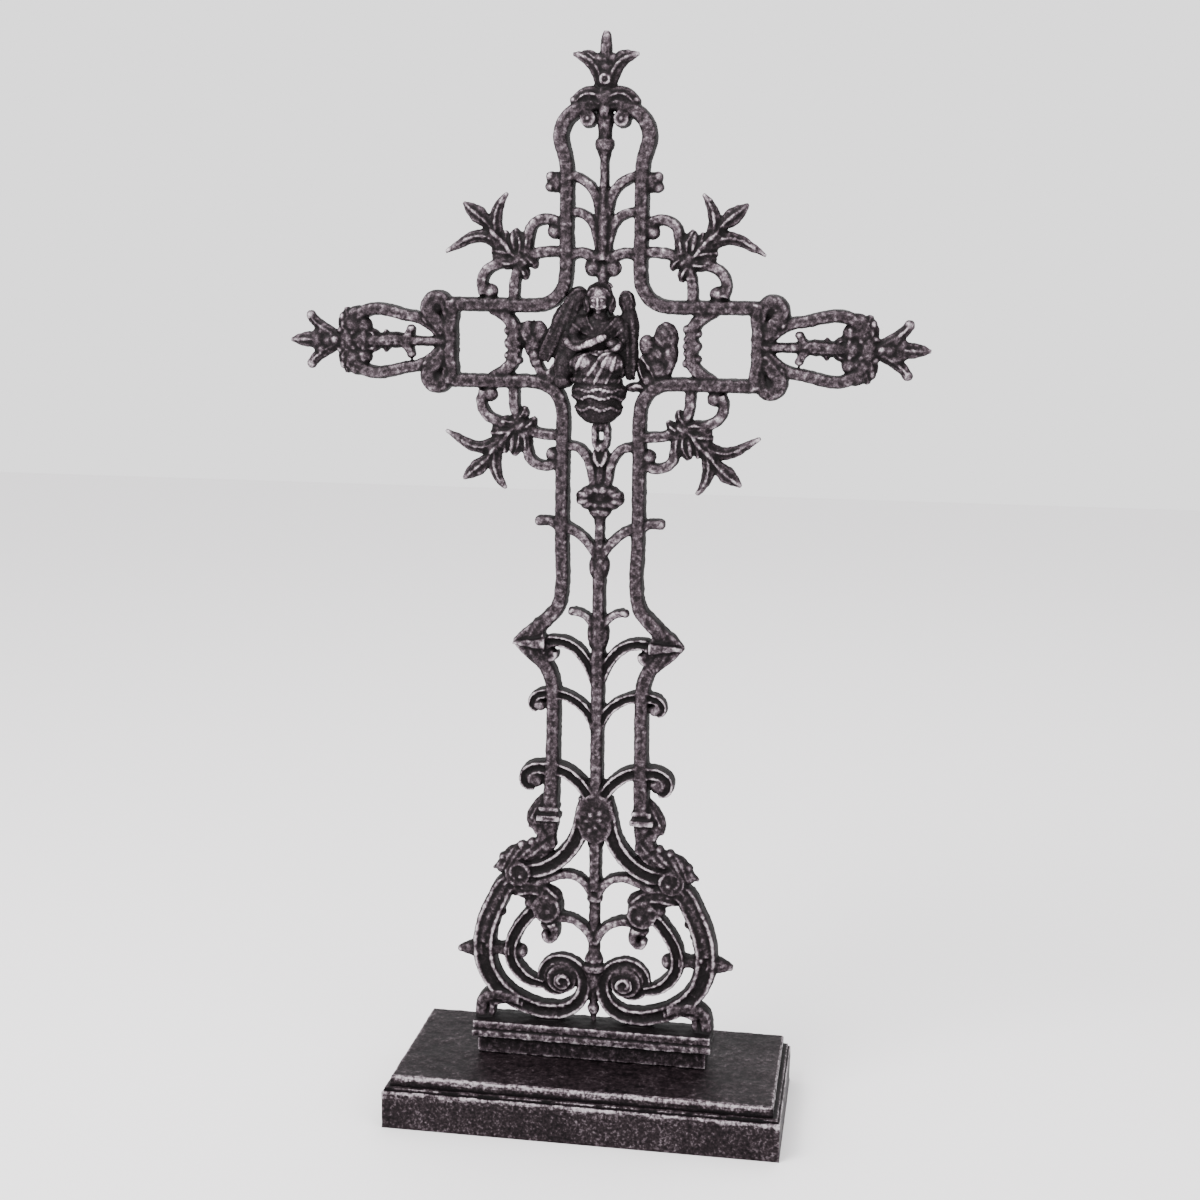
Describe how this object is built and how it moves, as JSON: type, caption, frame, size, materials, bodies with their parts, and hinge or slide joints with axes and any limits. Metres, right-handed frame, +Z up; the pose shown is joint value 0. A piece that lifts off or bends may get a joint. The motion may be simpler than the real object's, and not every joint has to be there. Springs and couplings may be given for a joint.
{
  "type": "memorial cross",
  "caption": "Openwork cast iron memorial cross with an angel, lily sprays and scrolls, standing on a stepped plinth.",
  "frame": {"origin": "middle of the plinth's underside", "axes": "+Z up along the shaft, -Y towards the front with the angel, +X to the right seen from the front"},
  "size_m": [0.35, 0.105, 0.6001],
  "materials": {
    "cross_iron": "black paint worn to silvery grey on the high points",
    "plinth_iron": "dark brown-grey paint, worn bright along the edges"
  },
  "bodies": {
    "root": {"cross": "cross_iron", "plinth": "plinth_iron"}
  },
  "joints": []
}
